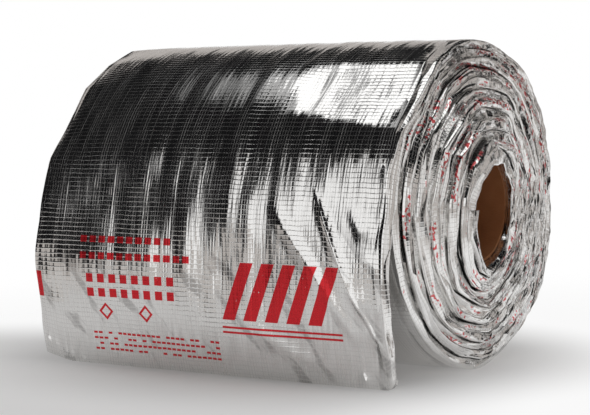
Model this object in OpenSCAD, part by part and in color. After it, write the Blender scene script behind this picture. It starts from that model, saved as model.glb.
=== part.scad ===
// Roll of foil-faced fire barrier wrap on a paper core, lying on a level floor
// with the outer end of the wrap hanging free and bellied out down its front.
// X runs along the roll's axis, -Y is the front, Z is up and z = 0 is the floor.

/* [Wrap] */
// Width of the wrap, along the roll's axis
wrap_w = 610; // [300:5:1220]
// Thickness of the wrap as wound
wrap_t = 12.7; // [8:0.1:25]
// Full turns of wrap on the core
turns = 12; // [4:1:16]
// How far the soft, foil-covered edge bulges past the groove beside it
edge_bulge = 3.2; // [1:0.2:4]
// How far the inmost turn stands out past the outmost at the right end
telescope = 24; // [0:1:60]

/* [Tail] */
// Angle above the front of the roll at which the tail leaves it
tail_lead = 16; // [8:1:30]
// How far the tail bellies out past the front of the roll
tail_bow = 12; // [2:1:30]
// Height of the hanging tail's end above the floor
tail_lift = 0; // [0:1:120]

/* [Core] */
// Inside diameter of the paper core
core_bore = 152; // [76:1:200]
// Wall of the paper core
core_wall = 4; // [2:0.5:10]
// Length of the paper core
core_len = 610; // [300:5:1220]
// Play between the core and the first turn
core_play = 0.2; // [0.1:0.1:1]

/* [Hidden] */
$fn = 180;

// The winding is a two-centre spiral: each turn is a lower and an upper half-turn whose centres
// lie half a thickness apart, so every half-turn runs smoothly into the next.
centre_step = wrap_t / 2;
core_r = core_bore / 2;
lower_r = core_r + core_wall + core_play;
upper_r = lower_r + centre_step;
lower_outer_r = lower_r + turns * wrap_t;
axis_z = lower_outer_r;

// Inside of the outmost turn, which is an upper half-turn and stops where the tail leaves it
outmost_r = upper_r + (turns - 1) * wrap_t;

// How far a cutting tool runs past the faces it cuts
overcut = 1;

// A circular arc across a strip's thickness that stands edge_bulge proud of its chord
function edge_radius(thickness) = (pow(thickness / 2, 2) + pow(edge_bulge, 2)) / (2 * edge_bulge);

// The tail is slimmer all round than the strip that it runs on from, and starts inside that strip,
// so many degrees of its own arc back, so that the two are one solid and the tail hangs just clear
tail_ease = 0.2;
tail_lap = 0.4;
tail_t = wrap_t - 2 * tail_ease;
tail_w = wrap_w - 2 * tail_ease;

// It is a wider arc than the outmost turn: its centre lies beyond the roll's, on the line from where
// the tail leaves, and so far that the tail's face bellies out by tail_bow
tail_offset = (tail_bow + tail_ease) / (1 - cos(tail_lead));
tail_r = outmost_r + tail_ease + tail_offset;
tail_mid_r = tail_r + tail_t / 2;
tail_centre_z = axis_z - tail_offset * sin(tail_lead);

// Angle below level at which the tail's rounded end comes down to tail_lift: the lowest point of its
// edge arc is tail_edge_r under the arc's centre, which lies edge_inset short of the end of the strip
tail_edge_r = edge_radius(tail_t);
edge_inset = tail_edge_r - edge_bulge;
tail_drop = tail_centre_z - tail_lift - tail_edge_r;
tail_end = asin(tail_drop / norm([tail_mid_r, edge_inset])) + atan2(edge_inset, tail_mid_r);

// The outmost turn and the core share one mid-plane. The telescoped inner turns stand out of it and
// the belly of the tail stands out of the front, so these centre the whole on x = 0 and y = 0
mid_x = -telescope / 2;
mid_y = tail_bow / 2;

// Sideways shift of a half-turn: the inmost is level 0, and the level steps up once a turn, at the back,
// so that the start of the winding and the tail run on flush from the half-turns beside them
function level_shift(level) = telescope * (1 - level / turns);

// Bulged end of a strip: the arc segment beyond y = 0, across x = 0 to its thickness
module edge_arc(thickness) {
    radius = edge_radius(thickness);
    intersection() {
        translate([thickness / 2, edge_bulge - radius]) circle(radius);
        square([thickness, edge_bulge]);
    }
}

// Section of a strip: x = 0 to its thickness, y along its width, both edges bulged
module strip_section(width, thickness) {
    straight = width - 2 * edge_bulge;
    translate([0, -straight / 2]) square([thickness, straight]);
    for (end = [0, 1])
        mirror([0, end]) translate([0, straight / 2]) edge_arc(thickness);
}

// Part of the winding about the local Z axis, from +X round towards +Y: one strip outside the next
module wound_arc(inner_r, first_level, count, angle) {
    rotate_extrude(angle = angle)
        for (turn = [0 : count - 1])
            translate([inner_r + turn * wrap_t, level_shift(first_level + turn)])
                strip_section(wrap_w, wrap_t);
}

// Turns the local Z axis along the roll's axis, X
module along_roll() {
    translate([mid_x, mid_y, axis_z]) rotate([90, 0, 90]) children();
}

// What rounds the tail's end off: all that lies past its edge arc, x across the tail and y on past its end
module edge_trim() {
    length = wrap_w + 2 * overcut;
    translate([0, 0, -length / 2])
        linear_extrude(length)
            difference() {
                translate([-overcut, -edge_inset]) square([tail_t + 2 * overcut, tail_edge_r + edge_bulge]);
                translate([tail_t / 2, -edge_inset]) circle(tail_edge_r);
            }
}

// The free end: the strip carried on from the outmost turn along its wider arc, down to the floor
module tail() {
    sweep = tail_lead + tail_end;
    spare = 1.5 * atan(edge_bulge / tail_mid_r);
    rotate(180 - tail_lead)
        translate([-tail_offset, 0, 0])
            difference() {
                rotate(-tail_lap)
                    rotate_extrude(angle = tail_lap + sweep + spare)
                        translate([tail_r, 0]) strip_section(tail_w, tail_t);
                rotate(sweep) translate([tail_r, 0, 0]) edge_trim();
            }
}

module wrap_roll() {
    color("silver")
        along_roll() {
            wound_arc(upper_r, 1, turns - 1, 180);
            wound_arc(outmost_r, turns, 1, 180 - tail_lead);
            translate([centre_step, 0, 0]) rotate(180) wound_arc(lower_r, 0, turns, 180);
            tail();
        }
}

module core_tube() {
    color("saddlebrown")
        along_roll()
            translate([centre_step, 0, -core_len / 2])
                difference() {
                    cylinder(h = core_len, r = core_r + core_wall);
                    translate([0, 0, -overcut]) cylinder(h = core_len + 2 * overcut, r = core_r);
                }
}

wrap_roll();
core_tube();
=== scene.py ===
import math

import bpy
import numpy as np
from mathutils import Matrix, Vector


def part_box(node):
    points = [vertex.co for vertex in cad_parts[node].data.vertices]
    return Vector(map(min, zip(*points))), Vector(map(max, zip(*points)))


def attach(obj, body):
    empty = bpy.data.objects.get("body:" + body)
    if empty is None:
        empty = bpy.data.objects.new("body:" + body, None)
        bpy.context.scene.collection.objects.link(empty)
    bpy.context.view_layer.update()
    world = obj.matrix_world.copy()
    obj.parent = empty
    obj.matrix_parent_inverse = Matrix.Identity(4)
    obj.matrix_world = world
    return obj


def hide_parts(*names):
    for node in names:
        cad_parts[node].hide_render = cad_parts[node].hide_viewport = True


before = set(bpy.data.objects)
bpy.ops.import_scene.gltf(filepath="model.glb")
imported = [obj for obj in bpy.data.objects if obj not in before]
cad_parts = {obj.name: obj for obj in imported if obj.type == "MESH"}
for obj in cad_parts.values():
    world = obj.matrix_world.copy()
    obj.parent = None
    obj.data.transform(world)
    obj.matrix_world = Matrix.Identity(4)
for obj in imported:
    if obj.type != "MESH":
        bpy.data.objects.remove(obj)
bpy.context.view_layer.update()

# Driving sizes in millimetres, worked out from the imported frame
MM = 0.001
TAU = 2 * math.pi
core_low, core_high = [np.array(corner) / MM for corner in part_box("core_tube")]
wrap_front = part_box("wrap_roll")[0][1] / MM
CORE_R = (core_high[2] - core_low[2]) / 2
AXIS_Z = (core_high[2] + core_low[2]) / 2
LOWER_Y = (core_high[1] + core_low[1]) / 2
MID_X = (core_high[0] + core_low[0]) / 2
WIDTH = core_high[0] - core_low[0]

# The winding: how many turns, the play on the core, the slit between turns and the floor's nearness
TURNS = 12
PLAY = 0.2
SLIT = 0.4
FLOOR_GAP = 0.2
INNER_R = CORE_R + PLAY
THICK = (AXIS_Z - INNER_R) / TURNS
UPPER_Y = LOWER_Y - THICK / 2
OUTMOST_R = INNER_R + (TURNS - 0.5) * THICK

# The tail: the angle above the front at which it leaves the outmost turn, and the wider arc it follows
TAIL_LEAD = math.radians(16)
TAIL_BOW = UPPER_Y - OUTMOST_R - THICK - wrap_front
TAIL_OFFSET = TAIL_BOW / (1 - math.cos(TAIL_LEAD))
TAIL_R = OUTMOST_R + TAIL_OFFSET
TAIL_MID_R = TAIL_R + THICK / 2
TAIL_CENTRE_Y = UPPER_Y + TAIL_OFFSET * math.cos(TAIL_LEAD)
TAIL_CENTRE_Z = AXIS_Z - TAIL_OFFSET * math.sin(TAIL_LEAD)
TAIL_SWEEP = TAIL_LEAD + math.asin(TAIL_CENTRE_Z / TAIL_MID_R)
TAIL_LENGTH = TAIL_SWEEP * TAIL_MID_R
LEAVE_PSI = TAU * TURNS - TAIL_LEAD

# The strip's lips: how far they round off, how square they are, and the steps round each
LIP = 4.2
LIP_SQUARENESS = 0.5
LIP_STEPS_RIGHT = 8
LIP_STEPS_LEFT = 6

# Mesh spacing: sections along the strip, on the winding and on the finer grid of the outmost turn and the
# tail, and columns across it, near the two edges, over the outer and inner faces and where it is creased
WOUND_STEP = 5.6
OUTER_STEP = 7.0
FINER_TURNS = 1.02
RIGHT_COLUMNS = (7.0, 12.0, 22.0, 46.0)
LEFT_COLUMNS = (14.0, 40.0)
OUTER_COLUMN = 7.0
INNER_COLUMN = 36.0
CREASED_COLUMN = 3.6
CREASED_FROM = 60.0

# Camera, fitted to the photograph's outline; the image is 590 by 415 pixels
IMAGE_W = 590
CAM_AZIMUTH = 34.044
CAM_ELEVATION = 3.247
CAM_DISTANCE = 2717.8
CAM_TARGET = (MID_X, UPPER_Y, 234.9)
CAM_FOCAL_PX = 1790.95
CAM_CENTRE_PX = (4.97, -7.18)
CAM_ROLL = -0.651

rng = np.random.default_rng(11)


# Small numeric helpers

def smoothstep(low, high, value):
    t = np.clip((value - low) / (high - low), 0.0, 1.0)
    return t * t * (3 - 2 * t)


def hump(value, centre, reach):
    """From 0 at reach either side of the centre to 1 on it."""
    return np.cos(math.pi / 2 * np.clip(np.abs(value - centre) / reach, 0, 1))


def triangle_wave(x):
    """From -1 to 1, with straight flanks and sharp peaks, one period per unit."""
    return 4 * np.abs(x - np.floor(x + 0.5)) - 1


class Crumple:
    """Flat facets between sharp creases, as foil has once it has been crushed: from about -1 to 1."""

    BEND = 0.4
    BEND_LENGTH = 2.3

    def __init__(self, shortest, longest, waves=5):
        self.wavelength = rng.uniform(shortest, longest, waves)
        self.direction = rng.uniform(0, math.pi, waves)
        self.phase = rng.uniform(0, 1, (waves, 2))

    def __call__(self, along, across):
        total = 0.0
        for wavelength, direction, (first, second) in zip(self.wavelength, self.direction, self.phase):
            u = along * math.cos(direction) + across * math.sin(direction)
            v = across * math.cos(direction) - along * math.sin(direction)
            bend = self.BEND * triangle_wave(v / (self.BEND_LENGTH * wavelength) + second)
            total = total + triangle_wave(u / wavelength + first + bend)
        return total / math.sqrt(3 * len(self.wavelength))


# The strip's path

def spiral(psi):
    """Inner face of the strip after winding angle psi, which starts at the front of the core:
    (y, z, outward y, outward z). Lower and upper half-turns have centres half a thickness apart."""
    half = np.floor(psi / math.pi + 1e-9)
    turn = np.floor(half / 2)
    lower = half % 2 == 0
    radius = INNER_R + turn * THICK + np.where(lower, 0.0, THICK / 2)
    centre_y = np.where(lower, LOWER_Y, UPPER_Y)
    out_y, out_z = np.cos(psi + math.pi), np.sin(psi + math.pi)
    return centre_y + radius * out_y, AXIS_Z + radius * out_z, out_y, out_z


def tail_arc(sweep):
    """The same on the tail, by the angle swept along its arc since it left the roll."""
    angle = math.pi - TAIL_LEAD + sweep
    out_y, out_z = np.cos(angle), np.sin(angle)
    return TAIL_CENTRE_Y + TAIL_R * out_y, TAIL_CENTRE_Z + TAIL_R * out_z, out_y, out_z


def path_length(psi):
    """Length of the strip's middle from its start to winding angle psi."""
    return (INNER_R + THICK / 2) * psi + THICK * psi ** 2 / (2 * TAU)


def psi_at(length):
    """Winding angle at which the strip's middle is that long."""
    b = INNER_R + THICK / 2
    a = THICK / (2 * TAU)
    return (-b + np.sqrt(b * b + 4 * a * length)) / (2 * a)


def bearing_of(psi):
    """Degrees round the roll: the back is 0, the top 90, the front 180 and the bottom 270."""
    return np.mod(np.degrees(psi) + 180, 360)


STRIP_LENGTH = path_length(LEAVE_PSI) + TAIL_LENGTH

# Creases of the winding, near the same bearings on every turn. Between them the strip is flattened, by a
# share of a straight chord's depth, most of which is lost towards the outmost turn. That turn's
# outside is creased only near the right end
KINK_BEARINGS = np.array([18, 60, 104, 140, 172, 206, 238, 271, 318])
KINK_JITTER = 0.11
KINK_LIFT = 0.9
KINK_REACH = 90.0
FLATNESS = 0.6
FLATNESS_LOSS = 0.75
kink_turns = np.sort(np.mod((KINK_BEARINGS - 180) / 360, 1))
kinks = np.concatenate([(turn + kink_turns) * TAU for turn in range(-1, TURNS + 3)])
kinks = np.sort(kinks + rng.normal(0, KINK_JITTER, len(kinks)))
kink_lift = rng.uniform(-KINK_LIFT, KINK_LIFT, len(kinks))

# The strip lies true where the tail leaves it, and comes back to its creases over so many turns
LEAVE_TURN = LEAVE_PSI / TAU
LEAVE_FADE = 0.15


def chord(psi):
    """The crease before psi, how far towards the next one psi lies, and the depth of the chord there."""
    i = np.clip(np.searchsorted(kinks, psi, side="right") - 1, 0, len(kinks) - 2)
    span = kinks[i + 1] - kinks[i]
    w = (psi - kinks[i]) / span
    return i, w, (INNER_R + THICK * psi / TAU) * span ** 2 / 2 * w * (1 - w)


def slack(psi):
    """How far the winding lies off the true spiral: flattened between its creases."""
    i, w, depth = chord(psi)
    turn = psi / TAU
    flatness = FLATNESS * smoothstep(0.5, 1.5, turn) * (1 - FLATNESS_LOSS * smoothstep(4.0, TURNS, turn))
    lift = (kink_lift[i] * (1 - w) + kink_lift[i + 1] * w) * smoothstep(0.3, 1.5, turn)
    free = smoothstep(0, LEAVE_FADE, np.abs(turn - LEAVE_TURN))
    free = free * smoothstep(0, LEAVE_FADE, np.abs(turn - LEAVE_TURN - 1))
    return (lift * (1 - smoothstep(TURNS - 1.5, TURNS, turn)) - flatness * depth) * free


# How the inner turns stand out of the right end: in pairs, most towards the top of the front, and with
# edges that wander
TELESCOPE = 49.0
LEDGE = 3.4
SWING_BEARING = 150.0
SWING_MEAN = 0.62
SWING = 0.38
WANDER = 1.4
WANDER_TURNS = 0.11
wander_psi = np.arange(-1, TURNS + 2, WANDER_TURNS) * TAU
wander_x = rng.normal(0, WANDER, len(wander_psi))

# Places, in turns, where an edge stands out of the right end or is pushed back, and by how much
RETREATS = [(11.86, 7.0), (10.87, 5.0), (9.84, -7.0), (8.86, 3.0), (7.8, -5.0), (5.15, -4.0), (3.2, -3.0),
            (0.0, 2.0)]
RETREAT_SPREAD = 0.1


def sideways(psi):
    """How far the strip stands out towards the right end."""
    turn = psi / TAU
    level = np.minimum(np.floor(turn) + smoothstep(0.3, 0.7, turn - np.floor(turn)), TURNS)
    level = level + smoothstep(0.25, 0.0, turn)
    ledge = LEDGE * np.cos(math.pi * level) * smoothstep(TURNS, TURNS - 1, level)
    swing = SWING_MEAN + SWING * np.cos(np.radians(bearing_of(psi) - SWING_BEARING))
    wander = np.interp(psi, wander_psi, wander_x) * smoothstep(TURNS, TURNS - 0.6, turn)
    pushed = sum(amount * np.exp(-((turn - place) / RETREAT_SPREAD) ** 2) for place, amount in RETREATS)
    return (TELESCOPE * (1 - level / TURNS) + ledge) * swing + wander + pushed


# The top of the front is flattened between creases, given as (bearing, depth): most at the left end,
# and in one flat at the right
LEFT_FLATS = [(80, 0), (97, 1), (113, 8), (130, 8), (163, 0)]
LEFT_FLATS_REACH = 150.0
RIGHT_FLATS = [(121, 0), (152, 0)]
RIGHT_FLATS_ACROSS = (80.0, 150.0)
RIGHT_FLATS_SLANT = 8.0

# The outer turns stand off loosely at the back of the right end, as (bearing, spread, how far)
LOOSE = [(36.0, 30.0, 8.0), (330.0, 32.0, 6.0)]
LOOSE_REACH = 120.0

# Past the core's end the inner turns sag, and the inmost one leans in over the bore
SAG = 12.0
SAG_POWER = 0.8
HOOD = 4.0
HOOD_MEAN = 0.75
HOOD_SWING = 0.25
HOOD_TURNS = 1.6
RIM_FLATNESS = 0.7


def flats(bearing, creases):
    """Depth of the straight runs between creases, in a round winding."""
    bearings, depths = np.array(creases, float).T
    i = np.clip(np.searchsorted(bearings, bearing, side="right") - 1, 0, len(bearings) - 2)
    before = np.radians(np.clip(bearing - bearings[i], 0, None))
    after = np.radians(np.clip(bearings[i + 1] - bearing, 0, None))
    inside = (bearing > bearings[0]) & (bearing < bearings[-1])
    return (np.interp(bearing, bearings, depths) + OUTMOST_R * before * after / 2) * inside


# Neighbouring lips lean on each other, so that some are thicker and some thinner
LEAN = 1.7
LEAN_REACH = 12.0
LEAN_STEP = 30.0
lean_psi = psi_at(np.arange(0, STRIP_LENGTH + 2000, LEAN_STEP))
lean_by = rng.uniform(-1, 1, len(lean_psi))


def lie(psi, across):
    """How far the strip's inner face lies off the true path, outwards."""
    turn = psi / TAU
    bearing = bearing_of(psi)
    from_left, from_right = WIDTH / 2 + across, WIDTH / 2 - across
    rise = np.sin(np.radians(bearing))

    dent = flats(bearing, LEFT_FLATS) * np.clip(1 - from_left / LEFT_FLATS_REACH, 0, 1) ** 2
    slanted = RIGHT_FLATS_SLANT * smoothstep(WIDTH / 2, RIGHT_FLATS_ACROSS[0], across)
    slanted = bearing + slanted * smoothstep(RIGHT_FLATS[0][0], RIGHT_FLATS[-1][0], bearing)
    dent = dent + flats(slanted, RIGHT_FLATS) * smoothstep(*RIGHT_FLATS_ACROSS, across)
    dent = dent * np.clip(turn / TURNS, 0, 1) ** 2
    loose = sum(far * hump(bearing, centre, spread) for centre, spread, far in LOOSE)
    loose = loose * smoothstep(8.0, TURNS, turn) * np.exp(-from_right / LOOSE_REACH)

    past_core = sideways(psi) - from_right
    sag = SAG * np.clip(1 - turn / TURNS, 0, 1) ** SAG_POWER * rise * smoothstep(-5, 25, past_core)
    hood = HOOD * (HOOD_MEAN + HOOD_SWING * rise) + RIM_FLATNESS * chord(psi)[2]
    hood = hood * smoothstep(HOOD_TURNS, 1.0, turn) * smoothstep(0, 14, past_core)
    first_over = (turn >= 0.5) & (turn < 1)
    snug = THICK / 2 * (1 - np.cos(np.radians(bearing))) * first_over
    lean = LEAN * np.exp(-from_right / LEAN_REACH) * np.interp(psi, lean_psi, lean_by)
    lean = lean * smoothstep(1.0, 2.0, turn) * smoothstep(TURNS, TURNS - 0.5, turn)
    return loose + lean - dent - sag - hood - snug


# The strip's section: a closed loop round its edges and faces

def section(outer_column=None, inner_column=None):
    """Points of the loop as (across, through, from_edge, unrolled): across from -WIDTH/2 to WIDTH/2,
    through from -1 at the inner face to 1 at the outer one, from_edge the distance from the nearer edge,
    and unrolled the place across the foil, which runs on from the outer face round both edges.
    Interior columns are added to the two faces at the given spacings."""
    half = WIDTH / 2
    round_lip = THICK + LIP

    def lip(side, steps):
        turn = np.linspace(-math.pi / 2, math.pi / 2, steps + 1)
        reach = LIP * np.abs(np.cos(turn)) ** LIP_SQUARENESS
        through = np.sign(turn) * np.abs(np.sin(turn)) ** LIP_SQUARENESS
        unrolled = side * (half - LIP + round_lip * (1 - through) / 2)
        return np.stack([side * (half - LIP + reach), through, LIP - reach, unrolled], -1)

    def face(through, column):
        across = [half - d for d in RIGHT_COLUMNS] + [d - half for d in reversed(LEFT_COLUMNS)]
        if column:
            first, last = half - RIGHT_COLUMNS[-1], LEFT_COLUMNS[-1] - half
            count = round((CREASED_FROM - last) / column)
            across += list(np.linspace(CREASED_FROM, last, count + 1)[:-1])
            finer = min(column, CREASED_COLUMN) if through > 0 else column
            count = round((first - CREASED_FROM) / finer)
            across += list(np.linspace(first, CREASED_FROM, count + 1)[1:-1])
        across = np.array(sorted(across, reverse=True))
        folded = np.sign(across) * (2 * (half - LIP) + round_lip) - across
        unrolled = across if through > 0 else folded
        return np.stack([across, np.full_like(across, through), half - np.abs(across), unrolled], -1)

    loop = [
        lip(1, LIP_STEPS_RIGHT),
        face(1.0, outer_column),
        lip(-1, LIP_STEPS_LEFT)[::-1],
        face(-1.0, inner_column)[::-1],
    ]
    return np.concatenate(loop)


# Lips: how far in from the edge their folds and their crushed foil reach, how high their folds and nicks are,
# how far they are drawn in, how much thinner they are pinched at each end of the roll and where they gape,
# and their bevel at the front
FOLD_REACH = 9.0
CRUSH_REACH = 12.0
FOLD_HEIGHT = 2.2
NICK_HEIGHT = 1.5
DRAWN_IN = 0.8
PINCH_RIGHT = 0.03
PINCH_LEFT = 0.3
GAPE = 0.3
GAPE_FROM = 0.35
BEVEL = 6.0

# They are calm at the front of the roll and roughest at its back, and the left end is calmer than the right
ROUGH_MEAN = 0.58
ROUGH_SWING = 0.42
LEFT_ROUGH = 0.35
LEFT_FOLDS = 0.5

# The crumpled band of the face beside them
BAND_HEIGHT = 1.2
BAND_REACH = 22.0

# Fields that shape the foil
edge_folds = Crumple(50, 170, 6)
edge_nicks = Crumple(14, 40, 5)
edge_push = Crumple(60, 180, 5)
face_crumple = Crumple(30, 90, 5)

# Soft waves round the roll, as (wavelength, phase, wander), their slope, how far their ridges drift, as
# (share of a wavelength, length along the strip), and how their strength comes and goes over the strip
WAVES = [(wavelength, rng.uniform(0, TAU), rng.uniform(0, TAU)) for wavelength in (19, 27, 37, 53, 88)]
WAVE_SLOPE = 0.0050
WAVE_DRIFTS = [(0.25, 170.0), (0.12, 61.0)]
WAVE_MEAN = 0.55
WAVE_SWING = 0.45
WAVE_PATCH = (83.0, 210.0)


def soft_waves(across, along):
    """Shallow waves that run round the roll, with their ridges wandering slightly."""
    height = 0.0
    for wavelength, phase, wander in WAVES:
        drift = 0.0
        for i, (share, length) in enumerate(WAVE_DRIFTS, 1):
            drift = drift + share * np.sin(along / length + i * wander)
        height = height + WAVE_SLOPE * wavelength * np.sin(TAU * across / wavelength + phase + TAU * drift)
    strength = WAVE_MEAN + WAVE_SWING * np.sin(across / WAVE_PATCH[0] + along / WAVE_PATCH[1])
    return height * strength


# Creases of the tail, as (points, height, width), each point (across, up from the tail's end)
TAIL_CREASES = [
    ([(186, 262), (249, 131), (303, 44)], 3.4, 9),
    ([(112, 250), (186, 160), (268, 52)], 2.8, 11),
    ([(70, 84), (150, 44), (220, 20)], 2.0, 13),
    ([(236, 250), (300, 150)], 2.2, 8),
    ([(-300, 215), (-262, 120)], 2.4, 12),
    ([(-302, 140), (-240, 60)], 2.0, 12),
]
CREASE_FADE = 45.0

# Where the tail hangs free, from so far about its start, it sways and its left edge bulges out
HANG_FADE = 60.0
SWAY = 2.2
SWAY_ACROSS = 75.0
SWAY_UP = 32.0
EDGE_BULGE = 8.0
EDGE_SPREAD = 5.0
EDGE_BULGE_UP = 160.0
EDGE_BULGE_REACH = 45.0

# Its bottom corners are turned up, as (width, height), and crushed, less so away from the edge and the end
LEFT_CORNER = (45.0, 11.0)
RIGHT_CORNER = (16.0, 9.0)
CORNER_CRUSH = 0.7
CORNER_ACROSS = 40.0
CORNER_UP = 14.0


def crease_relief(across, rise):
    """Ridges of the tail's creases, by place on it."""
    relief = 0.0
    for points, height, width in TAIL_CREASES:
        points = np.array(points, float)
        nearest = 1e9
        for start, end in zip(points[:-1], points[1:]):
            run = end - start
            du, dv = across - start[0], rise - start[1]
            along = np.clip((du * run[0] + dv * run[1]) / (run @ run), 0, 1)
            nearest = np.minimum(nearest, np.hypot(du - along * run[0], dv - along * run[1]))
        from_tips = [np.hypot(across - tip[0], rise - tip[1]) for tip in (points[0], points[-1])]
        fade = smoothstep(0, CREASE_FADE, np.minimum(*from_tips))
        relief = relief + height * fade * np.clip(1 - nearest / width, 0, 1)
    return relief


def corner_lift(across):
    """How far the tail's end is turned up at its two corners."""
    left_w, left_h = LEFT_CORNER
    right_w, right_h = RIGHT_CORNER
    left = np.clip(1 - (across + WIDTH / 2) / left_w, 0, 1)
    right = np.clip(1 - (WIDTH / 2 - across) / right_w, 0, 1)
    return left_h * left + right_h * right ** 2


def shape_strip(psi, sweep, loop):
    """Places the section loop at each station: psi is the winding angle there, and sweep the angle along
    the tail's arc. Returns positions in millimetres and (across, along, crush) for the foil."""
    psi, sweep = psi[:, None], sweep[:, None]
    across, through, from_edge, unrolled = (loop[:, i][None, :] for i in range(4))
    on_tail = sweep > 0
    along = path_length(psi) + sweep * TAIL_MID_R
    rise = STRIP_LENGTH - along
    reached = psi + sweep * TAIL_MID_R / (OUTMOST_R + THICK / 2)
    turn = reached / TAU
    bearing = bearing_of(reached)
    turned_up = sweep - corner_lift(across) / TAIL_MID_R * smoothstep(0.5, 1, sweep / TAIL_SWEEP)
    path = zip(tail_arc(turned_up), spiral(psi))
    y, z, out_y, out_z = (np.where(on_tail, hanging, wound) for hanging, wound in path)

    # Thickness between this turn's inner face and the next turn's
    outermost = smoothstep(TURNS - 1.06, TURNS - 0.94, turn)
    from_right = WIDTH / 2 - across
    creased = 1 - outermost * (1 - np.exp(-from_right / KINK_REACH))
    low = lie(reached, across) + np.where(on_tail, 0.0, slack(reached))
    high = lie(reached + TAU, across) + np.where(on_tail, 0.0, slack(reached + TAU)) * creased
    thick = THICK - SLIT * (1 - outermost) + high - low
    middle = low + thick / 2

    # Crushed edges
    at_right = across > 0
    towards_back = np.cos(np.radians(bearing))
    rough = (ROUGH_MEAN + ROUGH_SWING * towards_back) * np.where(at_right, 1.0, LEFT_ROUGH)
    near_edge = np.exp(-from_edge / FOLD_REACH)
    round_edge = THICK / 2 * through + np.sign(through) * from_edge
    gaping = np.maximum(edge_push(along, 0.3 * round_edge) - GAPE_FROM, 0)
    pinch = 1 - near_edge * (np.where(at_right, PINCH_RIGHT, PINCH_LEFT) + GAPE * gaping)
    radial = through * pinch * thick / 2
    folds = FOLD_HEIGHT * edge_folds(along, 2 * round_edge)
    folds = folds + NICK_HEIGHT * rough * edge_nicks(along, round_edge)
    bevel = BEVEL * np.maximum(-towards_back, 0) ** 2 * (1 + through) / 2
    push = np.sign(across) * near_edge * (folds - bevel - DRAWN_IN) * np.where(at_right, 1.0, LEFT_FOLDS)

    # Waves and creases on the outside of the outmost turn and the tail
    hanging = smoothstep(TAIL_LENGTH + HANG_FADE, TAIL_LENGTH - HANG_FADE, rise)
    outside = outermost * smoothstep(0.0, 1.0, through)
    edge_band = np.exp(-np.maximum(from_edge - LIP, 0) / BAND_REACH) * smoothstep(2.0, 10.0, from_edge)
    relief = soft_waves(across, along) + BAND_HEIGHT * edge_band * face_crumple(along, across)
    relief = relief + crease_relief(across, rise) * smoothstep(1.2 * TAIL_LENGTH, TAIL_LENGTH, rise)
    radial = radial + outside * relief
    sway = SWAY * hanging * np.sin(across / SWAY_ACROSS + 0.7) * np.sin(rise / SWAY_UP)
    bulge = EDGE_BULGE * np.exp(-((rise - EDGE_BULGE_UP) / EDGE_BULGE_REACH) ** 2) + EDGE_SPREAD
    bulge = bulge * hanging * np.exp(-(WIDTH / 2 + across) / EDGE_BULGE_REACH)

    # The tail's end is rounded off
    from_end = TAIL_LENGTH - sweep * TAIL_MID_R
    shrink = np.sqrt(np.clip(1 - (1 - np.clip(from_end / LIP, 0, 1)) ** 2, 0.01, 1))
    radial = middle + sway + radial * np.where(on_tail, shrink, 1.0)

    x = MID_X + sideways(reached) + across + push - bulge
    z = np.maximum(z + radial * out_z, FLOOR_GAP)
    position = np.stack([x + 0 * y, y + radial * out_y, z], -1)
    corner = CORNER_CRUSH * np.exp(-from_edge / CORNER_ACROSS - from_end / CORNER_UP) * on_tail
    crush = np.maximum(np.exp(-from_edge / CRUSH_REACH) * rough, corner)
    shown = np.stack([unrolled + 0 * crush, along + 0 * crush, crush], -1)
    return position, shown


def grid_faces(rows, columns, first=0):
    """Quads of a tube of closed rows."""
    r = np.arange(rows - 1)[:, None] * columns + first
    c = np.arange(columns)[None, :]
    n = (c + 1) % columns
    return np.stack([r + c, r + n, r + columns + n, r + columns + c], -1).reshape(-1, 4).tolist()


def bridge_faces(coarse, coarse_first, fine, fine_first):
    """Triangles that join a coarse loop to a finer one that holds all its points."""
    match = [int(np.argmin(np.abs(fine - point).sum(1))) for point in coarse]
    faces = []
    n, m = len(coarse), len(fine)
    for i in range(n):
        a, b = coarse_first + i, coarse_first + (i + 1) % n
        start, steps = match[i], (match[(i + 1) % n] - match[i]) % m
        middle = steps // 2
        ring = [fine_first + (start + k) % m for k in range(steps + 1)]
        faces += [[a, ring[k + 1], ring[k]] for k in range(middle)]
        faces.append([a, b, ring[middle]])
        faces += [[b, ring[k + 1], ring[k]] for k in range(middle, steps)]
    return faces


def cap_faces(loop, first, flip):
    """Closes the end of the strip with one face."""
    ring = [first + i for i in range(len(loop))]
    if flip:
        ring.reverse()
    return [ring]


def add_mesh(name, positions, faces, material, strip):
    """A smooth-shaded mesh object from positions in millimetres."""
    mesh = bpy.data.meshes.new(name)
    mesh.from_pydata((positions * MM).tolist(), [], faces)
    mesh.validate()
    mesh.shade_smooth()
    attribute = mesh.attributes.new("strip", "FLOAT_VECTOR", "POINT")
    attribute.data.foreach_set("vector", (strip * np.array([MM, MM, 1])).astype(np.float32).ravel())
    mesh.materials.append(material)
    piece = bpy.data.objects.new(name, mesh)
    bpy.context.scene.collection.objects.link(piece)
    return piece


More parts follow.
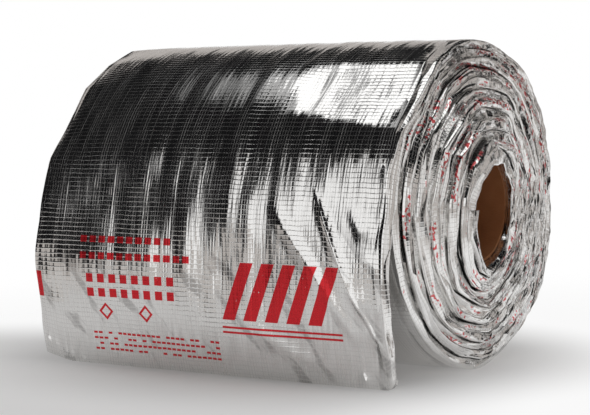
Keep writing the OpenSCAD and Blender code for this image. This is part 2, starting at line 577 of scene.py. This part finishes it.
def make_wrap(material):
    """The whole strip: the wound turns, then the outmost turn and the tail on a finer grid."""
    coarse, fine = section(), section(OUTER_COLUMN, INNER_COLUMN)
    change = path_length(TAU * (TURNS - FINER_TURNS))
    leave = path_length(LEAVE_PSI)
    wound = psi_at(np.linspace(0, change, round(change / WOUND_STEP)))
    outer = psi_at(np.linspace(change, leave, round((leave - change) / OUTER_STEP))[1:])
    lip_sweep = LIP / TAIL_MID_R
    sweep = np.linspace(0, TAIL_SWEEP - lip_sweep, round(TAIL_LENGTH / OUTER_STEP))[1:]
    rounding = TAIL_SWEEP - lip_sweep * (1 - np.sin(np.linspace(0, math.pi / 2, 5)[1:]))
    sweep = np.concatenate([np.zeros(len(outer)), sweep, rounding])
    outer = np.concatenate([outer, np.full(len(sweep) - len(outer), LEAVE_PSI)])

    first_p, first_s = shape_strip(wound, np.zeros(len(wound)), coarse)
    last_p, last_s = shape_strip(outer, sweep, fine)
    start = first_p.shape[0] * first_p.shape[1]
    faces = grid_faces(len(wound), len(coarse)) + grid_faces(len(outer), len(fine), start)
    faces += bridge_faces(coarse, start - len(coarse), fine, start)
    faces += cap_faces(coarse, 0, True)
    faces += cap_faces(fine, start + (len(outer) - 1) * len(fine), False)
    positions = np.concatenate([first_p.reshape(-1, 3), last_p.reshape(-1, 3)])
    strip = np.concatenate([first_s.reshape(-1, 3), last_s.reshape(-1, 3)])
    return add_mesh("wrap", positions, faces, material, strip)


# Shader building

class Nodes:
    """Adds nodes to a tree and joins them up."""

    def __init__(self, tree):
        self.tree = tree
        tree.nodes.clear()

    def add(self, kind, inputs=None, **settings):
        node = self.tree.nodes.new(kind)
        for name, value in settings.items():
            setattr(node, name, value)
        for key, value in (inputs or {}).items():
            self.put(node.inputs[key], value)
        return node

    def put(self, socket, value):
        if isinstance(value, bpy.types.NodeSocket):
            self.tree.links.new(value, socket)
        else:
            socket.default_value = value

    def math(self, operation, *values):
        node = self.add("ShaderNodeMath", operation=operation)
        for socket, value in zip(node.inputs, values):
            self.put(socket, value)
        return node.outputs[0]

    def chain(self, operation, *values):
        """The operation carried on over any number of values."""
        total = values[0]
        for value in values[1:]:
            total = self.math(operation, total, value)
        return total

    def vector(self, operation, *values):
        node = self.add("ShaderNodeVectorMath", operation=operation)
        for socket, value in zip(node.inputs, values):
            self.put(socket, value)
        return node.outputs["Value" if operation in ("DOT_PRODUCT", "LENGTH") else "Vector"]

    def point(self, x, y):
        """The vector (x, y, 0)."""
        return self.add("ShaderNodeCombineXYZ", {"X": x, "Y": y}).outputs[0]

    def ramp(self, value, low, high, to_low=0.0, to_high=1.0):
        """Smooth step from to_low at low to to_high at high."""
        node = self.add("ShaderNodeMapRange", interpolation_type="SMOOTHSTEP")
        for socket, number in zip(node.inputs, (value, low, high, to_low, to_high)):
            self.put(socket, number)
        return node.outputs[0]

    def between(self, value, low, high, soft):
        """1 inside low to high, with soft edges."""
        rise = self.ramp(value, low - soft, low + soft)
        fall = self.ramp(value, high - soft, high + soft, 1.0, 0.0)
        return self.math("MULTIPLY", rise, fall)

    def mix(self, factor, first, second):
        node = self.add("ShaderNodeMix", data_type="RGBA")
        for key, value in ((0, factor), (6, first), (7, second)):
            self.put(node.inputs[key], value)
        return node.outputs[2]

    def noise(self, vector, scale, detail):
        inputs = {"Vector": vector, "Scale": scale, "Detail": detail}
        return self.add("ShaderNodeTexNoise", inputs).outputs["Fac"]

    def bump(self, height, distance, normal=None):
        node = self.add("ShaderNodeBump", {"Strength": 1.0, "Distance": distance, "Height": height})
        if normal is not None:
            self.put(node.inputs["Normal"], normal)
        return node.outputs["Normal"]


def new_material(name):
    material = bpy.data.materials.new(name)
    material.use_nodes = True
    return material, Nodes(material.node_tree)


def finish_material(nodes, shader):
    nodes.add("ShaderNodeOutputMaterial", {"Surface": shader.outputs[0]})


# Print on the foil, in millimetres: (low, high) ranges across the strip and up from its end
INK_SOFT = 0.35
BARS = ((0, 166), (85, 165))
BAR_PITCH = 36.0
BAR_WIDTH = 22.0
BAR_SLANT = 0.4
RULES = [((34, 232), (66, 69)), ((34, 232), (73, 76))]
SQUARES = ((-211, -50), (104, 140))
SQUARE_PITCH = 21.0
SQUARE_SIDE = 13.0
BLOCKS = [((-222, -55), (184, 194)), ((-222, -21), (160, 170))]
BLOCK_PITCH = 17.0
BLOCK_LENGTH = 12.5
DIAMONDS = [(-178, 84), (-104, 84)]
DIAMOND_REACH = 13.0
DIAMOND_INSIDE = 0.62
FINE_ROWS = ((-208, 26), (24, 54))
FINE_ROW_PITCH = 8.2
FINE_ROW_HEIGHT = 3.6
FINE_DASH_PITCH = 9.0
FINE_DASH_LENGTH = 7.4
FINE_DASHES_LEFT_OUT = 0.2
SIDE_BAND = ((-WIDTH, 12 - WIDTH / 2), (98, 138))
FLECKS = (WIDTH / 2 - 6, WIDTH / 2 + 8)
FLECKS_FROM = 1500.0
FLECK_SIZE = (6.2, 6.2)
FLECK_PATCH = (80.0, 26.0)
FLECK_INK = 0.85


def print_mask(n, across, rise):
    """1 where the foil is printed; across and rise are in millimetres."""

    def within(area, across=across):
        columns, rows = area
        inside = n.between(across, *columns, INK_SOFT)
        return n.math("MULTIPLY", inside, n.between(rise, *rows, INK_SOFT))

    def repeat(value, pitch, length):
        return n.between(n.math("FLOORED_MODULO", value, pitch), INK_SOFT, length, INK_SOFT)

    slanted = n.math("SUBTRACT", across, n.math("MULTIPLY", rise, BAR_SLANT))
    bars = n.math("MULTIPLY", within(BARS, slanted), repeat(slanted, BAR_PITCH, BAR_WIDTH))
    rules = n.chain("MAXIMUM", *(within(rule) for rule in RULES))
    squares = n.chain("MULTIPLY", within(SQUARES), repeat(across, SQUARE_PITCH, SQUARE_SIDE),
                      repeat(rise, SQUARE_PITCH, SQUARE_SIDE))
    blocks = n.chain("MAXIMUM", *(within(row) for row in BLOCKS))
    blocks = n.math("MULTIPLY", blocks, repeat(across, BLOCK_PITCH, BLOCK_LENGTH))

    def chance(x, y):
        cell = n.add("ShaderNodeTexWhiteNoise", {"Vector": n.point(x, y)}, noise_dimensions="2D")
        return cell.outputs["Value"]

    def number(value, pitch):
        return n.math("FLOOR", n.math("DIVIDE", value, pitch))

    def diamond(middle):
        sides = [n.math("ABSOLUTE", n.math("SUBTRACT", value, m)) for value, m in zip((across, rise), middle)]
        from_middle = n.math("ADD", *sides)
        return n.between(from_middle, DIAMOND_REACH * DIAMOND_INSIDE, DIAMOND_REACH, INK_SOFT)

    diamonds = n.chain("MAXIMUM", *(diamond(middle) for middle in DIAMONDS))
    dash = chance(number(across, FINE_DASH_PITCH), number(rise, FINE_ROW_PITCH))
    fine_rows = n.chain("MULTIPLY", within(FINE_ROWS), repeat(rise, FINE_ROW_PITCH, FINE_ROW_HEIGHT),
                        repeat(across, FINE_DASH_PITCH, FINE_DASH_LENGTH),
                        n.math("GREATER_THAN", dash, FINE_DASHES_LEFT_OUT))

    def blots(size, low, high):
        """Blots of about that size along and across the strip."""
        length, width = size
        spread = n.point(n.math("DIVIDE", rise, length), n.math("DIVIDE", across, width))
        return n.ramp(n.noise(spread, 1.0, 1.0), low, high)

    on_lip = n.between(across, *FLECKS, INK_SOFT)
    wound = n.ramp(rise, FLECKS_FROM, FLECKS_FROM + 1)
    spots = n.math("MULTIPLY", blots(FLECK_SIZE, 0.52, 0.56), blots(FLECK_PATCH, 0.57, 0.59))
    flecks = n.chain("MULTIPLY", spots, on_lip, wound, FLECK_INK)
    return n.chain("MAXIMUM", bars, rules, squares, blocks, diamonds, fine_rows, within(SIDE_BAND), flecks)


# The foil's scrim: its pitch across and along the strip, and how far the puckers between its threads run
# along the strip. Strands are bundles of threads, so many times as wide and as long as the puckers
SCRIM_ACROSS = 4.6
SCRIM_ALONG = 6.6
PUCKER = 55.0
STRAND_WIDTH = 2.2
STRAND_LENGTH = 2.0

# Its fine relief in millimetres, and how much each pucker tilts the foil along the strip
RIDGE_HEIGHT = 0.16
PILLOW_HEIGHT = 0.03
PUCKER_HEIGHT = 0.21
GRAIN_HEIGHT = 0.01
PUCKER_TILT = 0.4

# How much of the foil's mirror is lost on its threads: the least and the most on those along the strip,
# and on those across it
WARP_DULL = (0.03, 0.38)
WEFT_DULL = 0.12

# Facets of crushed foil and the pleats of the lips, as (facets to a metre, share of that along the strip)
CRUSH = (48.0, 0.4)
FINE_CRUSH = (140.0, 0.5)
FINE_CRUSH_SHARE = 0.45
PLEATS = (90.0, 0.12)
FACET_SLOPE = 1.0

# The tail's sharpest creases, as (start, end), each (across, up from the tail's end)
SHARP_CREASES = [((180, 274), (246, 138)), ((240, 146), (303, 44))]
SHARP_WIDTH = 4.4
SHARP_SWELL = 2.0
SHARP_HEIGHT = 1.3

# Painted dark reflections low on the tail, in streaky grey patches between the threads: their slope, size and
# strength, and where they fade out up the tail
DARK_REFLECTION_ANGLE = math.radians(-52)
DARK_REFLECTION_LENGTH = 0.090
DARK_REFLECTION_WIDTH = 0.028
DARK_REFLECTION_STRENGTH = 0.6
DARK_REFLECTION_FADE = (190.0, 230.0)

# Colours of the foil, of the painted shade on its threads and how much it shows, of the painted dark
# reflections low on the tail and of the ink
FOIL_DIM = (0.79, 0.78, 0.765, 1)
FOIL_BRIGHT = (0.87, 0.865, 0.855, 1)
THREAD_SHADE_GREY = (0.30, 0.29, 0.28, 1)
THREAD_PAINTED_SHADE = 0.05
DARK_REFLECTION_GREY = (0.34, 0.33, 0.325, 1)
INK_RED = (0.74, 0.025, 0.035, 1)

# The foil's least and most roughness, what the threads and the ink add to it, and the mirror lost under ink
FOIL_ROUGHNESS = (0.07, 0.13)
THREAD_ROUGHNESS = 0.15
INK_ROUGHNESS = 0.1
INK_DULL = 0.25


def sharp_creases(n, across, rise):
    """Ridges, from 0 to 1, along the tail's sharpest creases; across and rise are in millimetres."""
    place = n.point(across, rise)

    def ridge(start, end):
        run = Vector(end) - Vector(start)
        offset = n.vector("SUBTRACT", place, (*start, 0.0))
        share = n.math("DIVIDE", n.vector("DOT_PRODUCT", offset, (*run, 0.0)), run.length_squared)
        share = n.math("MINIMUM", n.math("MAXIMUM", share, 0.0), 1.0)
        foot = n.point(n.math("MULTIPLY", share, run.x), n.math("MULTIPLY", share, run.y))
        from_tip = n.math("PINGPONG", share, 0.5)
        width = n.math("ADD", SHARP_WIDTH, n.math("MULTIPLY", from_tip, SHARP_SWELL))
        off_line = n.math("DIVIDE", n.vector("LENGTH", n.vector("SUBTRACT", offset, foot)), width)
        return n.math("MULTIPLY", n.ramp(off_line, 0.0, 1.0, 1.0, 0.0), n.ramp(from_tip, 0.0, 0.35))

    return n.chain("MAXIMUM", *(ridge(*crease) for crease in SHARP_CREASES))


def foil_material():
    """Bright foil over a fine scrim, crushed along its edges and printed in red."""
    material, n = new_material("foil")
    strip = n.add("ShaderNodeAttribute", attribute_name="strip").outputs["Vector"]
    across, along, edge = n.add("ShaderNodeSeparateXYZ", {"Vector": strip}).outputs
    flat = n.vector("MULTIPLY", strip, (1.0, 1.0, 0.0))
    across_mm = n.math("DIVIDE", across, MM)
    rise = n.math("SUBTRACT", STRIP_LENGTH, n.math("DIVIDE", along, MM))

    # Threads of the scrim, and the puckers and strands that run along the strip
    wobble = n.math("MULTIPLY", n.noise(flat, 28.0, 2.0), 0.5)

    def nearness(coordinate, pitch):
        """From 0 midway between threads to 1 on them."""
        shifted = n.math("ADD", n.math("DIVIDE", coordinate, pitch * MM), wobble)
        return n.math("MULTIPLY", n.math("PINGPONG", shifted, 0.5), 2.0)

    def streaks(width, length):
        stretched = n.vector("MULTIPLY", strip, (1 / (width * MM), 1 / (length * MM), 0.0))
        return n.noise(stretched, 1.0, 2.0)

    to_warp, to_weft = nearness(across, SCRIM_ACROSS), nearness(along, SCRIM_ALONG)
    warp, weft = n.math("POWER", to_warp, 4.0), n.math("POWER", to_weft, 6.0)
    puckers = streaks(SCRIM_ACROSS, PUCKER)
    strands = streaks(STRAND_WIDTH * SCRIM_ACROSS, STRAND_LENGTH * PUCKER)
    ridges = n.math("MULTIPLY", weft, n.ramp(n.noise(flat, 11.0, 4.0), 0.35, 0.65, 0.2, 1.0))
    pillows = n.math("MULTIPLY", n.ramp(to_warp, 0.0, 1.0), n.ramp(strands, 0.3, 0.7, 1.0, 0.3))
    dull_warp = n.math("MULTIPLY", warp, n.ramp(strands, 0.35, 0.7, *WARP_DULL))
    dull = n.math("MAXIMUM", dull_warp, n.math("MULTIPLY", weft, WEFT_DULL))

    # Crushed foil along the edges
    def facets(scale, stretch):
        stretched = n.vector("MULTIPLY", strip, (1.0, stretch, 0.0))
        cells = n.add("ShaderNodeTexVoronoi", {"Vector": stretched, "Scale": scale})
        offset = n.vector("SUBTRACT", stretched, cells.outputs["Position"])
        tilt = n.vector("SUBTRACT", cells.outputs["Color"], (0.5, 0.5, 0.5))
        return n.vector("DOT_PRODUCT", offset, tilt)

    crush = n.math("ADD", facets(*CRUSH), n.math("MULTIPLY", facets(*FINE_CRUSH), FINE_CRUSH_SHARE))
    crush = n.math("MULTIPLY", crush, n.ramp(edge, 0.1, 0.8))
    pleats = n.math("MULTIPLY", facets(*PLEATS), n.ramp(edge, 0.02, 0.1))

    # Relief
    normal = n.bump(ridges, RIDGE_HEIGHT * MM)
    normal = n.bump(pillows, PILLOW_HEIGHT * MM, normal)
    normal = n.bump(puckers, PUCKER_HEIGHT * MM, normal)
    normal = n.bump(n.math("ADD", crush, pleats), FACET_SLOPE, normal)
    normal = n.bump(sharp_creases(n, across_mm, rise), SHARP_HEIGHT * MM, normal)
    normal = n.bump(n.noise(flat, 900.0, 2.0), GRAIN_HEIGHT * MM, normal)
    tilt = n.math("MULTIPLY", n.math("SUBTRACT", puckers, 0.5), PUCKER_TILT)
    tilt = n.vector("MULTIPLY", n.vector("CROSS_PRODUCT", (1.0, 0.0, 0.0), normal), tilt)
    normal = n.vector("NORMALIZE", n.vector("ADD", normal, tilt))

    # Colour
    foil = n.mix(n.noise(flat, 9.0, 4.0), FOIL_DIM, FOIL_BRIGHT)
    # Painted shade: the threads across the strip are darkened in the foil's colour, as thin lines of shade
    # along the scrim
    foil = n.mix(n.math("MULTIPLY", weft, THREAD_PAINTED_SHADE), foil, THREAD_SHADE_GREY)
    # Painted reflection: streaky grey patches low on the tail, between the threads, stand in for dark
    # reflections of tilted foil
    turned = n.add("ShaderNodeVectorRotate", {"Vector": flat, "Angle": DARK_REFLECTION_ANGLE}, rotation_type="Z_AXIS")
    streaked = n.vector("MULTIPLY", turned.outputs[0], (1 / DARK_REFLECTION_LENGTH, 1 / DARK_REFLECTION_WIDTH, 0.0))
    painted_reflection = n.ramp(n.noise(streaked, 1.0, 3.0), 0.55, 0.64, 0.0, DARK_REFLECTION_STRENGTH)
    low_down = n.ramp(rise, *DARK_REFLECTION_FADE, 1.0, 0.0)
    painted_reflection = n.chain("MULTIPLY", painted_reflection, n.math("SUBTRACT", 1.0, weft), low_down)
    foil = n.mix(painted_reflection, foil, DARK_REFLECTION_GREY)
    worn = n.ramp(n.noise(flat, 160.0, 4.0), 0.22, 0.32)
    ink = n.math("MULTIPLY", print_mask(n, across_mm, rise), worn)

    roughness = n.ramp(n.noise(flat, 25.0, 3.0), 0.3, 0.7, *FOIL_ROUGHNESS)
    roughness = n.math("ADD", roughness, n.math("MULTIPLY", ink, INK_ROUGHNESS))
    roughness = n.math("ADD", roughness, n.math("MULTIPLY", ridges, THREAD_ROUGHNESS))
    shader = n.add("ShaderNodeBsdfPrincipled", {
        "Base Color": n.mix(ink, foil, INK_RED),
        "Metallic": n.chain("SUBTRACT", 1.0, n.math("MULTIPLY", ink, INK_DULL), dull),
        "Roughness": roughness,
        "Normal": normal,
    })
    finish_material(n, shader)
    return material


# The paper core's colours, the pitch of its seams in metres, and its fibres to a metre along each axis
PAPER_DARK = (0.320, 0.118, 0.040, 1)
PAPER_MID = (0.430, 0.168, 0.060, 1)
PAPER_LIGHT = (0.475, 0.200, 0.078, 1)
SEAM_BROWN = (0.085, 0.038, 0.018, 1)
SEAM_PITCH = 0.14
FIBRES = (180.0, 900.0, 900.0)
FIBRE_HEIGHT = 0.3
PAPER_ROUGHNESS = 0.82


def paper_material():
    """Brown wound paper, with the helical seams of its plies and faint fibres."""
    material, n = new_material("core_paper")
    place = n.add("ShaderNodeTexCoord").outputs["Object"]
    x, y, z = n.add("ShaderNodeSeparateXYZ", {"Vector": place}).outputs
    round_axis = n.math("ARCTAN2", n.math("SUBTRACT", z, AXIS_Z * MM), n.math("SUBTRACT", y, LOWER_Y * MM))
    helix = n.math("ADD", n.math("DIVIDE", x, SEAM_PITCH), n.math("DIVIDE", round_axis, TAU))
    seam = n.math("POWER", n.math("MULTIPLY", n.math("PINGPONG", helix, 0.5), 2.0), 60.0)
    fibres = n.noise(n.vector("MULTIPLY", place, FIBRES), 1.0, 4.0)
    blotch = n.noise(place, 14.0, 3.0)
    color = n.mix(n.ramp(blotch, 0.35, 0.7), n.mix(fibres, PAPER_DARK, PAPER_MID), PAPER_LIGHT)
    shader = n.add("ShaderNodeBsdfPrincipled", {
        "Base Color": n.mix(seam, color, SEAM_BROWN),
        "Roughness": PAPER_ROUGHNESS,
        "Normal": n.bump(n.math("SUBTRACT", fibres, seam), FIBRE_HEIGHT * MM),
    })
    finish_material(n, shader)
    return material


# Stage: world, lamps, floor and camera

WHITE = (1.0, 1.0, 1.0, 1)
PALE = (0.78, 0.77, 0.765, 1)
GREY = (0.50, 0.468, 0.445, 1)
DARK = (0.005, 0.005, 0.0055, 1)

# Surroundings in degrees: azimuth is 0 in front and grows to the left, elevation is 0 on the level.
# The backdrop's middle and how it fades out sideways and upwards, and where the dark above begins
BACKDROP_AZIMUTH = 146.0
BACKDROP_FADE = (22.0, 55.0)
BACKDROP_TOP = (6.0, 14.0)
DARK_ABOVE = (26.0, 31.0)

# Bright cards as (azimuth range, elevation range), and dark flags as azimuth ranges that fade in upwards
FRONT_CARD = ((-40.0, 35.0), (-4.0, 27.0))
SIDE_CARD = ((-131.0, -90.0), (-8.0, 24.0))
LEFT_FLAG = (35.0, 100.0)
LEFT_FLAG_FADE = (-5.0, -2.0)
SIDE_FLAGS = [(-174, -161), (-141, -137), (-84, -72)]
SIDE_FLAGS_FADE = (-25.0, -15.0)
CARD_SOFT = 3.0
FRONT_SOFT = 2.5
FLAG_SOFT = 1.5


def build_world():
    """A studio by direction: a white backdrop behind, grey below and around, bright cards in front and at the
    right, dark flags beside them, and dark above."""
    world = bpy.data.worlds.new("studio")
    bpy.context.scene.world = world
    world.use_nodes = True
    n = Nodes(world.node_tree)
    direction = n.add("ShaderNodeTexCoord").outputs["Generated"]
    dx, dy, dz = n.add("ShaderNodeSeparateXYZ", {"Vector": direction}).outputs
    elevation = n.math("DEGREES", n.math("ARCSINE", dz))
    azimuth = n.math("DEGREES", n.math("ARCTAN2", n.math("MULTIPLY", dx, -1.0), n.math("MULTIPLY", dy, -1.0)))
    from_backdrop = n.math("ABSOLUTE", n.math("SUBTRACT", azimuth, BACKDROP_AZIMUTH))
    from_backdrop = n.math("MINIMUM", from_backdrop, n.math("SUBTRACT", 360.0, from_backdrop))

    def card(area, azimuth_soft, elevation_soft):
        sideways, upwards = area
        inside = n.between(azimuth, *sideways, azimuth_soft)
        return n.math("MULTIPLY", inside, n.between(elevation, *upwards, elevation_soft))

    backdrop = n.mix(n.ramp(from_backdrop, *BACKDROP_FADE, 1.0, 0.0), GREY, WHITE)
    around = n.mix(n.ramp(elevation, *BACKDROP_TOP), backdrop, GREY)
    around = n.mix(n.ramp(elevation, *DARK_ABOVE), around, DARK)
    side_flags = n.chain("MAXIMUM", *(n.between(azimuth, *flag, FLAG_SOFT) for flag in SIDE_FLAGS))
    around = n.mix(n.math("MULTIPLY", side_flags, n.ramp(elevation, *SIDE_FLAGS_FADE)), around, DARK)
    around = n.mix(card(SIDE_CARD, CARD_SOFT, CARD_SOFT), around, PALE)
    left_flag = n.between(azimuth, *LEFT_FLAG, FRONT_SOFT)
    around = n.mix(n.math("MULTIPLY", left_flag, n.ramp(elevation, *LEFT_FLAG_FADE)), around, DARK)
    around = n.mix(card(FRONT_CARD, FRONT_SOFT, FLAG_SOFT), around, WHITE)
    n.add("ShaderNodeOutputWorld", {"Surface": n.add("ShaderNodeBackground", {"Color": around}).outputs[0]})


# Soft lamps straight above, as (x, length, width, degrees turned, radiance), with lengths in metres
LAMPS = [
    (-0.144, 0.90, 0.90, 45, 1.3),
    (0.67, 1.14, 0.66, 0, 1.3),
    (-0.675, 0.45, 0.66, 0, 0.48),
    (-0.98, 0.16, 0.66, 0, 0.20),
]
LAMP_Y = -0.08
LAMP_HEIGHT = 1.75


def build_lamps():
    """Soft lights in a row along the roll: two bright ones, the left of them set cornerwise, and dim ones
    past its left corner."""
    for lamp_x, length, width, turned, radiance in LAMPS:
        light = bpy.data.lights.new("lamp", "AREA")
        light.shape = "RECTANGLE"
        light.size = length
        light.size_y = width
        light.energy = math.pi * length * width * radiance
        lamp = bpy.data.objects.new("lamp", light)
        lamp.location = (lamp_x, LAMP_Y, LAMP_HEIGHT)
        lamp.rotation_euler.z = math.radians(turned)
        bpy.context.scene.collection.objects.link(lamp)


# Floor in metres: its radius, where it starts to fade out, and its paint
FLOOR_R = 1.5
FLOOR_SIDES = 96
FLOOR_FADE = (0.55, 0.95 * FLOOR_R)
FLOOR_DIM = (0.92, 0.90, 0.885, 1)
FLOOR_BRIGHT = (0.94, 0.92, 0.905, 1)

# How much of what is seen of it is plain white, as (from, to, least, most): by distance from under the roll,
# and by distance from a place in front of it. Less of it is white near the roll and about that place, a
# painted shade there
GLOW_SHADED_UNDER_ROLL = (0.22, 0.55, 0.17, 1.0)
GLOW_SHADED_IN_FRONT = (0.42, 0.75, 0.46, 0.93)
PAINTED_SHADE_IN_FRONT = (-0.20, -0.45, 0.0)


def build_floor():
    """A pale floor that fades out into the surroundings; part of what is seen of it is plain white, less of
    it under and in front of the roll, as painted shade.
    """
    material, n = new_material("floor")
    place = n.add("ShaderNodeTexCoord").outputs["Object"]
    paint = n.mix(n.noise(place, 40.0, 2.0), FLOOR_DIM, FLOOR_BRIGHT)
    paint = n.add("ShaderNodeBsdfDiffuse", {"Color": paint})
    white = n.add("ShaderNodeEmission")
    ray = n.add("ShaderNodeLightPath").outputs
    seen = n.chain("MAXIMUM", ray["Is Camera Ray"], ray["Is Glossy Ray"], ray["Is Transmission Ray"])
    from_roll = n.vector("LENGTH", place)
    from_painted_shade = n.vector("LENGTH", n.vector("SUBTRACT", place, PAINTED_SHADE_IN_FRONT))
    # Painted shade: the plain white is lessened near the roll and about a place in front of it, so the floor
    # reads darker there
    glow_with_painted_shade = n.chain("MULTIPLY", seen, n.ramp(from_roll, *GLOW_SHADED_UNDER_ROLL), n.ramp(from_painted_shade, *GLOW_SHADED_IN_FRONT))
    lit = n.add("ShaderNodeMixShader", {0: glow_with_painted_shade, 1: paint.outputs[0], 2: white.outputs[0]})
    clear = n.add("ShaderNodeBsdfTransparent")
    fade = n.ramp(from_roll, *FLOOR_FADE)
    shader = n.add("ShaderNodeMixShader", {0: fade, 1: lit.outputs[0], 2: clear.outputs[0]})
    finish_material(n, shader)
    mesh = bpy.data.meshes.new("floor")
    angles = np.linspace(0, TAU, FLOOR_SIDES, endpoint=False)
    ring = [(FLOOR_R * math.cos(angle), FLOOR_R * math.sin(angle), 0) for angle in angles]
    mesh.from_pydata(ring, [], [list(range(FLOOR_SIDES))])
    mesh.materials.append(material)
    floor = bpy.data.objects.new("floor", mesh)
    bpy.context.scene.collection.objects.link(floor)


def build_camera():
    """The photograph's camera."""
    a, e, r = (math.radians(v) for v in (CAM_AZIMUTH, CAM_ELEVATION, CAM_ROLL))
    back = Vector((math.sin(a) * math.cos(e), -math.cos(a) * math.cos(e), math.sin(e)))
    right = (-back).cross(Vector((0, 0, 1))).normalized()
    up = right.cross(-back)
    right, up = math.cos(r) * right + math.sin(r) * up, math.cos(r) * up - math.sin(r) * right
    data = bpy.data.cameras.new("camera")
    data.sensor_width = 36.0
    data.lens = CAM_FOCAL_PX / IMAGE_W * data.sensor_width
    data.shift_x = -CAM_CENTRE_PX[0] / IMAGE_W
    data.shift_y = CAM_CENTRE_PX[1] / IMAGE_W
    camera = bpy.data.objects.new("camera", data)
    place = (Vector(CAM_TARGET) + back * CAM_DISTANCE) * MM
    camera.matrix_world = Matrix.Translation(place) @ Matrix((right, up, back)).transposed().to_4x4()
    bpy.context.scene.collection.objects.link(camera)
    bpy.context.scene.camera = camera


bpy.context.scene.view_settings.view_transform = "Standard"
build_camera()
build_world()
build_lamps()
build_floor()

wrap = make_wrap(foil_material())
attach(wrap, "root")
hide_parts("wrap_roll")

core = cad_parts["core_tube"]
core.data.materials.clear()
core.data.materials.append(paper_material())
